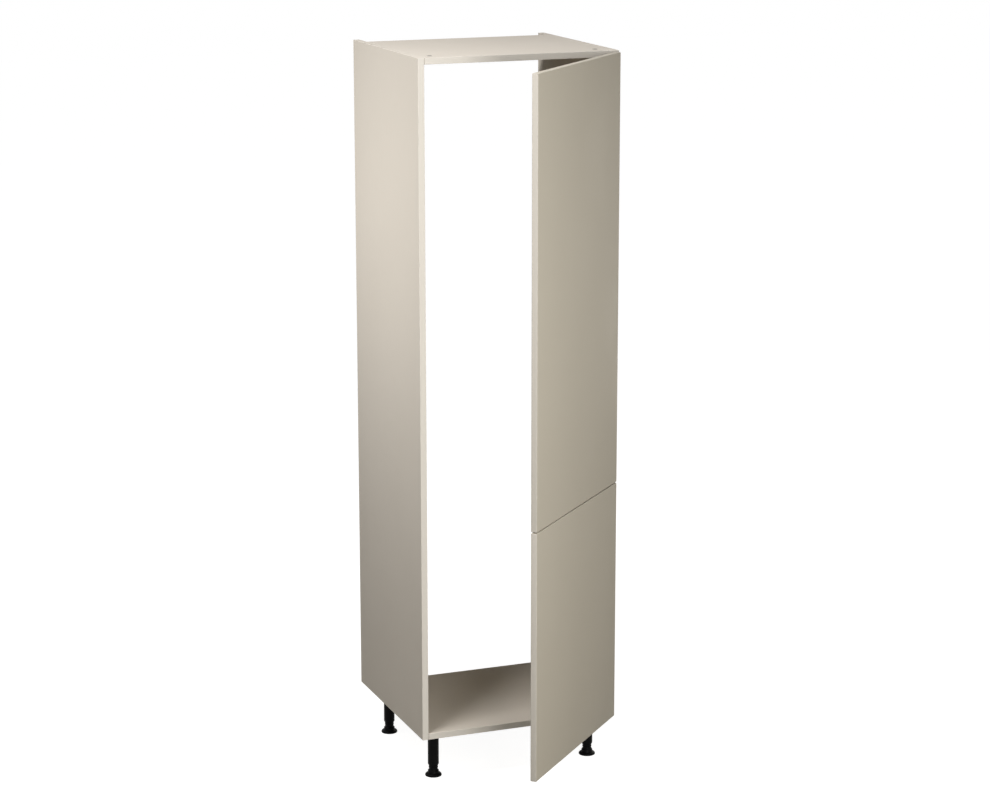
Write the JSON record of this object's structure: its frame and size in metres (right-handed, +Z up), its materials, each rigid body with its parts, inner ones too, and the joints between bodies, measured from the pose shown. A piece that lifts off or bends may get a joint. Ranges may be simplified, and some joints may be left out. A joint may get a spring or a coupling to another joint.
{
  "type": "fridge housing unit",
  "caption": "Tall open-backed cabinet for a built-in fridge, standing on adjustable legs, with a tall upper door above a short lower one, both hung on concealed hinges and shown ajar.",
  "frame": {"origin": "floor level, under the middle of the width and halfway between the rear edges of the side panels and the leading edge of the doors as they stand ajar", "axes": "+X to the right seen from the front, +Y to the back, +Z up"},
  "size_m": [0.6, 0.9943, 2.106],
  "materials": {
    "melamine_board": "warm grey matt melamine facing on particle board",
    "matching_edging": "colour-matched plastic edging, slightly paler",
    "painted_door": "matt warm grey faced door slab with softened edges",
    "black_leg_plastic": "black moulded plastic",
    "plated_hinge_steel": "nickel-plated pressed steel",
    "zinc_cam": "dull die-cast zinc"
  },
  "bodies": {
    "carcass": {"left_panel": "melamine_board", "right_panel": "melamine_board", "top_panel": "melamine_board", "bottom_panel": "melamine_board", "left_edging": "matching_edging", "right_edging": "matching_edging", "top_edging": "matching_edging", "bottom_edging": "matching_edging", "top_left_cam": "zinc_cam", "top_right_cam": "zinc_cam", "bottom_left_cam": "zinc_cam", "bottom_right_cam": "zinc_cam", "upper_hinge_1_plate": "plated_hinge_steel", "upper_hinge_1_arm": "plated_hinge_steel", "upper_hinge_2_plate": "plated_hinge_steel", "upper_hinge_2_arm": "plated_hinge_steel", "upper_hinge_3_plate": "plated_hinge_steel", "upper_hinge_3_arm": "plated_hinge_steel", "lower_hinge_1_plate": "plated_hinge_steel", "lower_hinge_1_arm": "plated_hinge_steel", "lower_hinge_2_plate": "plated_hinge_steel", "lower_hinge_2_arm": "plated_hinge_steel", "front_left_leg_socket": "black_leg_plastic", "front_left_leg_tube": "black_leg_plastic", "front_right_leg_socket": "black_leg_plastic", "front_right_leg_tube": "black_leg_plastic", "back_left_leg_socket": "black_leg_plastic", "back_left_leg_tube": "black_leg_plastic", "back_right_leg_socket": "black_leg_plastic", "back_right_leg_tube": "black_leg_plastic"},
    "upper_outer_links": {"upper_hinge_1_outer_link": "plated_hinge_steel", "upper_hinge_2_outer_link": "plated_hinge_steel", "upper_hinge_3_outer_link": "plated_hinge_steel"},
    "upper_inner_links": {"upper_hinge_1_inner_link": "plated_hinge_steel", "upper_hinge_2_inner_link": "plated_hinge_steel", "upper_hinge_3_inner_link": "plated_hinge_steel"},
    "upper_door": {"upper_door": "painted_door", "upper_hinge_1_cup": "plated_hinge_steel", "upper_hinge_2_cup": "plated_hinge_steel", "upper_hinge_3_cup": "plated_hinge_steel"},
    "lower_outer_links": {"lower_hinge_1_outer_link": "plated_hinge_steel", "lower_hinge_2_outer_link": "plated_hinge_steel"},
    "lower_inner_links": {"lower_hinge_1_inner_link": "plated_hinge_steel", "lower_hinge_2_inner_link": "plated_hinge_steel"},
    "lower_door": {"lower_door": "painted_door", "lower_hinge_1_cup": "plated_hinge_steel", "lower_hinge_2_cup": "plated_hinge_steel"},
    "front_left_foot": {"front_left_leg_foot": "black_leg_plastic"},
    "front_right_foot": {"front_right_leg_foot": "black_leg_plastic"},
    "back_left_foot": {"back_left_leg_foot": "black_leg_plastic"},
    "back_right_foot": {"back_right_leg_foot": "black_leg_plastic"}
  },
  "joints": [
    {"name": "upper_outer_link_pivot", "type": "hinge", "parent": "carcass", "child": "upper_outer_links", "pos_m": [0.2747, -0.05284, 1.4795], "axis": [0, 0, 1], "range_deg": [-17.7, 14.5]},
    {"name": "upper_door_pivot", "type": "hinge", "parent": "upper_outer_links", "child": "upper_door", "pos_m": [0.2842, -0.07408, 1.4795], "axis": [0, 0, 1], "range_deg": [-59.44, 72.65]},
    {"name": "upper_inner_link_pivot", "type": "hinge", "parent": "carcass", "child": "upper_inner_links", "pos_m": [0.2689, -0.05834, 1.4795], "axis": [0, 0, 1], "range_deg": [-12.4, 10.1]},
    {"name": "lower_outer_link_pivot", "type": "hinge", "parent": "carcass", "child": "lower_outer_links", "pos_m": [0.2747, -0.05284, 0.4965], "axis": [0, 0, 1], "range_deg": [-17.7, 14.5]},
    {"name": "lower_door_pivot", "type": "hinge", "parent": "lower_outer_links", "child": "lower_door", "pos_m": [0.2842, -0.07408, 0.4965], "axis": [0, 0, 1], "range_deg": [-59.44, 72.65]},
    {"name": "lower_inner_link_pivot", "type": "hinge", "parent": "carcass", "child": "lower_inner_links", "pos_m": [0.2689, -0.05834, 0.4965], "axis": [0, 0, 1], "range_deg": [-12.4, 10.1]},
    {"name": "front_left_foot_thread", "type": "slide", "parent": "carcass", "child": "front_left_foot", "axis": [0, 0, 1], "range_m": [-0.025, 0.013]},
    {"name": "front_right_foot_thread", "type": "slide", "parent": "carcass", "child": "front_right_foot", "axis": [0, 0, 1], "range_m": [-0.025, 0.013]},
    {"name": "back_left_foot_thread", "type": "slide", "parent": "carcass", "child": "back_left_foot", "axis": [0, 0, 1], "range_m": [-0.025, 0.013]},
    {"name": "back_right_foot_thread", "type": "slide", "parent": "carcass", "child": "back_right_foot", "axis": [0, 0, 1], "range_m": [-0.025, 0.013]}
  ],
  "couplings": [
    {"joint": "upper_outer_link_pivot", "follows": "upper_door_pivot", "ratio": -0.24294},
    {"joint": "upper_inner_link_pivot", "follows": "upper_door_pivot", "ratio": -0.16951},
    {"joint": "lower_outer_link_pivot", "follows": "lower_door_pivot", "ratio": -0.24294},
    {"joint": "lower_inner_link_pivot", "follows": "lower_door_pivot", "ratio": -0.16951}
  ]
}
